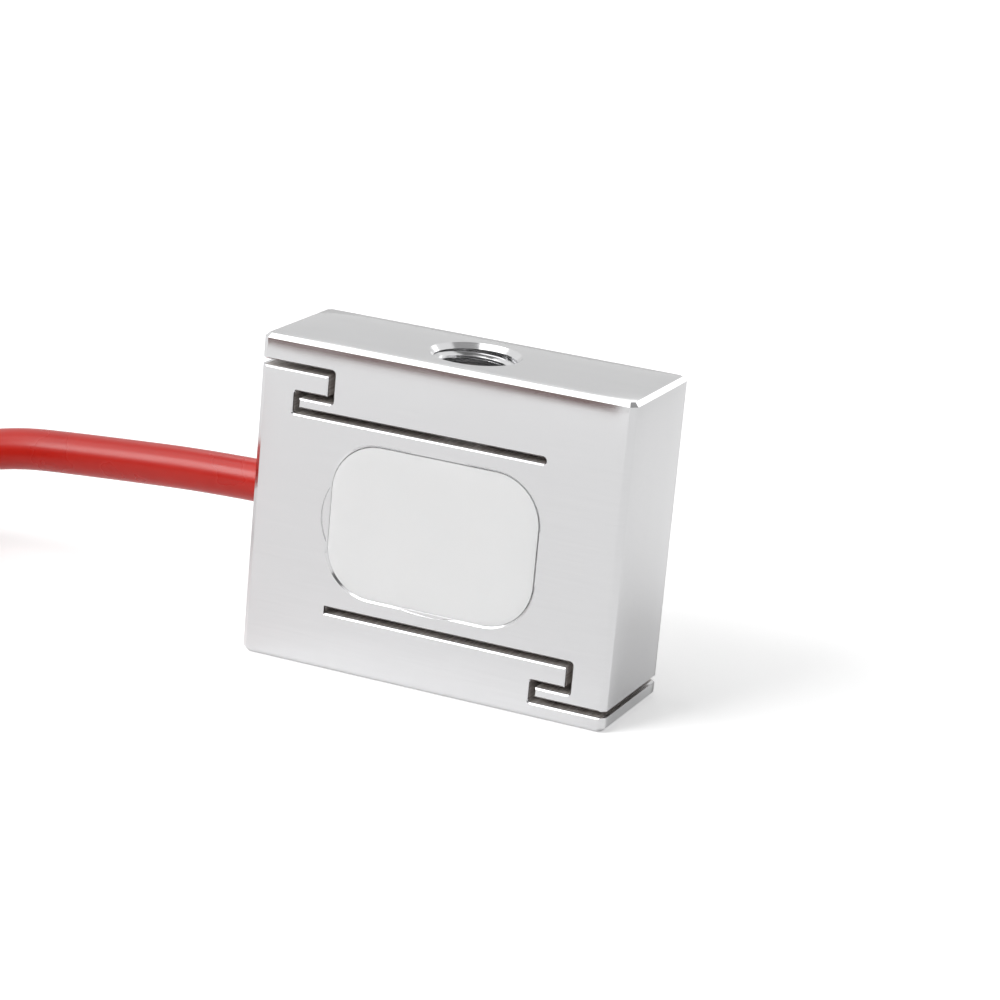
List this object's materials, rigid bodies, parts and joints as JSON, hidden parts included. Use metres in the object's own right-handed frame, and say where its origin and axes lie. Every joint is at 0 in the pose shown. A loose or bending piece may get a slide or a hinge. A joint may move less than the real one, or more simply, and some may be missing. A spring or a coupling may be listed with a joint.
{
  "type": "s type load cell",
  "caption": "Flat S-beam force sensor: steel block with hooked slots, a white potted gauge window, threaded loading holes and a thin attached cable.",
  "frame": {"origin": "centre of the lower loading face, on its outer plane", "axes": "+Z along the loading axis from the lower to the upper face, +X along the wide side away from the cable, +Y through the thickness; the front looks along -Y"},
  "size_m": [0.0749, 0.0339, 0.0159],
  "materials": {
    "machined_steel": "fine satin machined stainless steel",
    "white_silicone": "matte cast silicone",
    "polyimide_foil": "thin amber film",
    "enamelled_copper": "varnished wire",
    "glass_laminate": "satin board",
    "chip_ceramic": "fired body with tinned ends",
    "clear_adhesive": "cured adhesive",
    "core_red": "extruded insulation",
    "core_black": "extruded insulation",
    "core_green": "extruded insulation",
    "core_white": "extruded insulation",
    "red_jacket": "satin extruded jacket",
    "nylon_strap": "moulded strap",
    "shrink_sleeve": "shrunk tubing",
    "tinned_screen": "twisted tinned strands",
    "tinned_copper": "solder-tinned strands"
  },
  "bodies": {
    "root": {"sensing_body": "machined_steel", "front_potting": "white_silicone", "rear_potting": "white_silicone", "gauge_upper_left": "polyimide_foil", "gauge_upper_right": "polyimide_foil", "gauge_lower_left": "polyimide_foil", "gauge_lower_right": "polyimide_foil", "gauge_lead_upper_left": "enamelled_copper", "gauge_lead_upper_right": "enamelled_copper", "gauge_lead_lower_left": "enamelled_copper", "gauge_lead_lower_right": "enamelled_copper", "terminal_board": "glass_laminate", "span_resistor": "chip_ceramic", "balance_resistor": "chip_ceramic", "entry_seal": "clear_adhesive", "inner_wire_red": "core_red", "inner_wire_black": "core_black", "inner_wire_green": "core_green", "inner_wire_white": "core_white", "cable_lead": "red_jacket", "cable_coil": "red_jacket", "cable_tail": "red_jacket", "coil_tie_left": "nylon_strap", "coil_tie_right": "nylon_strap", "end_sleeve": "shrink_sleeve", "tail_red": "core_red", "tail_black": "core_black", "tail_green": "core_green", "tail_white": "core_white", "tail_screen": "tinned_screen", "tip_red": "tinned_copper", "tip_black": "tinned_copper", "tip_green": "tinned_copper", "tip_white": "tinned_copper"}
  },
  "joints": []
}
